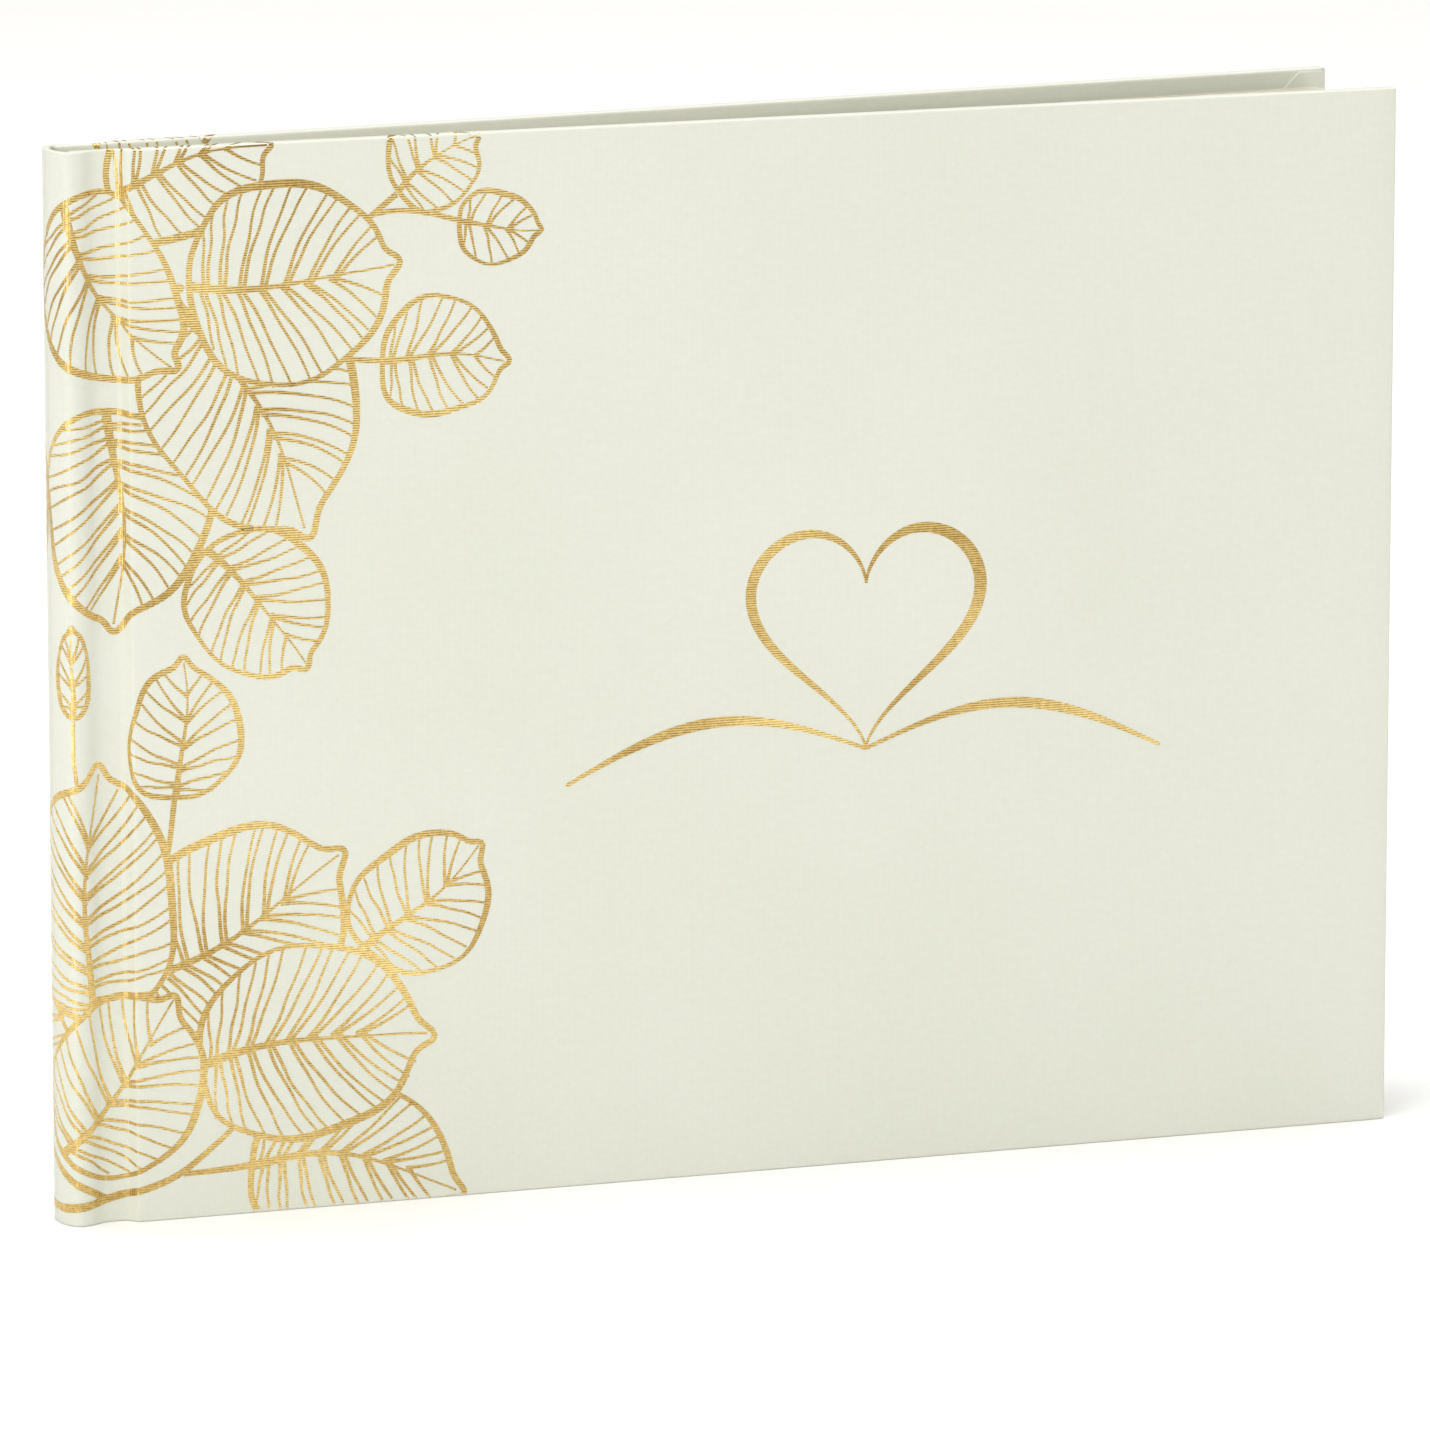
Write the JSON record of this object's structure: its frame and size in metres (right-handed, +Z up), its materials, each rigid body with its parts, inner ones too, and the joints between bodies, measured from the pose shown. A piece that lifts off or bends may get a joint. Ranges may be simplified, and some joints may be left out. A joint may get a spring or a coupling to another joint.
{
  "type": "wedding guest book",
  "caption": "Hard-cover guest book standing on its tail: rounded spine, two hinged boards with gold foil leaves, sewn leaves fanned between.",
  "frame": {"origin": "middle of the footprint on the surface the book stands on", "axes": "+Z up the page height, +X from the spine to the fore edge, -Y faces the front cover"},
  "size_m": [0.2481, 0.0326, 0.188],
  "materials": {
    "cover_paper": "linen-embossed pale sage cover paper, satin",
    "greyboard": "dense grey pulp board, matt",
    "endpaper": "smooth cream endpaper, matt",
    "leaf_paper": "uncoated cream writing paper, matt",
    "gold_foil": "hot-stamped gold foil over the linen emboss, bright satin",
    "binding_cloth": "stiffened open-weave cotton mull",
    "liner_paper": "brown kraft paper, matt",
    "endband_cloth": "woven cotton endband, cream and gold",
    "linen_thread": "waxed linen sewing thread"
  },
  "bodies": {
    "spine": {"spine_wrap": "cover_paper", "spine_board": "greyboard", "spine_lining": "liner_paper", "mull": "binding_cloth", "headband": "endband_cloth", "tailband": "endband_cloth", "sewing_thread": "linen_thread", "section_folds": "leaf_paper", "front_endpaper_fold": "endpaper", "rear_endpaper_fold": "endpaper", "spine_foil": "gold_foil"},
    "front_cover": {"front_board": "greyboard", "front_wrap": "cover_paper", "front_pastedown": "endpaper", "front_foil": "gold_foil", "front_flourish": "gold_foil"},
    "rear_cover": {"rear_board": "greyboard", "rear_wrap": "cover_paper", "rear_pastedown": "endpaper", "rear_foil": "gold_foil"},
    "front_flyleaf": {"front_flyleaf": "endpaper"},
    "rear_flyleaf": {"rear_flyleaf": "endpaper"},
    "section_1": {"section_1": "leaf_paper"},
    "section_2": {"section_2": "leaf_paper"},
    "section_3": {"section_3": "leaf_paper"},
    "section_4": {"section_4": "leaf_paper"},
    "section_5": {"section_5": "leaf_paper"},
    "section_6": {"section_6": "leaf_paper"},
    "section_7": {"section_7": "leaf_paper"},
    "section_8": {"section_8": "leaf_paper"}
  },
  "joints": [
    {"name": "front_cover_hinge", "type": "hinge", "parent": "spine", "child": "front_cover", "pos_m": [-0.12, -0.00285, 0], "axis": [0, 0, -1], "range_deg": [-2.5, 173]},
    {"name": "front_flyleaf_turn", "type": "hinge", "parent": "spine", "child": "front_flyleaf", "pos_m": [-0.1145, -0.00263, 0], "axis": [0, 0, -1], "range_deg": [-1.96, 134.95]},
    {"name": "section_1_turn", "type": "hinge", "parent": "spine", "child": "section_1", "pos_m": [-0.1145, -0.0021, 0], "axis": [0, 0, -1], "range_deg": [-1.56, 107.27]},
    {"name": "section_2_turn", "type": "hinge", "parent": "spine", "child": "section_2", "pos_m": [-0.1145, -0.0015, 0], "axis": [0, 0, -1], "range_deg": [-1.11, 76.13]},
    {"name": "section_3_turn", "type": "hinge", "parent": "spine", "child": "section_3", "pos_m": [-0.1145, -0.0009, 0], "axis": [0, 0, -1], "range_deg": [-0.66, 44.99]},
    {"name": "section_4_turn", "type": "hinge", "parent": "spine", "child": "section_4", "pos_m": [-0.1145, -0.0003, 0], "axis": [0, 0, -1], "range_deg": [-0.23, 15.58]},
    {"name": "rear_cover_hinge", "type": "hinge", "parent": "spine", "child": "rear_cover", "pos_m": [-0.12, 0.00285, 0], "axis": [0, 0, 1], "range_deg": [-2.5, 173]},
    {"name": "rear_flyleaf_turn", "type": "hinge", "parent": "spine", "child": "rear_flyleaf", "pos_m": [-0.1145, 0.00263, 0], "axis": [0, 0, 1], "range_deg": [-1.96, 134.95]},
    {"name": "section_8_turn", "type": "hinge", "parent": "spine", "child": "section_8", "pos_m": [-0.1145, 0.0021, 0], "axis": [0, 0, 1], "range_deg": [-1.56, 107.27]},
    {"name": "section_7_turn", "type": "hinge", "parent": "spine", "child": "section_7", "pos_m": [-0.1145, 0.0015, 0], "axis": [0, 0, 1], "range_deg": [-1.11, 76.13]},
    {"name": "section_6_turn", "type": "hinge", "parent": "spine", "child": "section_6", "pos_m": [-0.1145, 0.0009, 0], "axis": [0, 0, 1], "range_deg": [-0.66, 44.99]},
    {"name": "section_5_turn", "type": "hinge", "parent": "spine", "child": "section_5", "pos_m": [-0.1145, 0.0003, 0], "axis": [0, 0, 1], "range_deg": [-0.23, 15.58]}
  ],
  "couplings": [
    {"joint": "front_flyleaf_turn", "follows": "front_cover_hinge", "ratio": 0.78},
    {"joint": "section_1_turn", "follows": "front_cover_hinge", "ratio": 0.62},
    {"joint": "section_2_turn", "follows": "front_cover_hinge", "ratio": 0.44},
    {"joint": "section_3_turn", "follows": "front_cover_hinge", "ratio": 0.26},
    {"joint": "section_4_turn", "follows": "front_cover_hinge", "ratio": 0.09},
    {"joint": "rear_flyleaf_turn", "follows": "rear_cover_hinge", "ratio": 0.78},
    {"joint": "section_8_turn", "follows": "rear_cover_hinge", "ratio": 0.62},
    {"joint": "section_7_turn", "follows": "rear_cover_hinge", "ratio": 0.44},
    {"joint": "section_6_turn", "follows": "rear_cover_hinge", "ratio": 0.26},
    {"joint": "section_5_turn", "follows": "rear_cover_hinge", "ratio": 0.09}
  ]
}
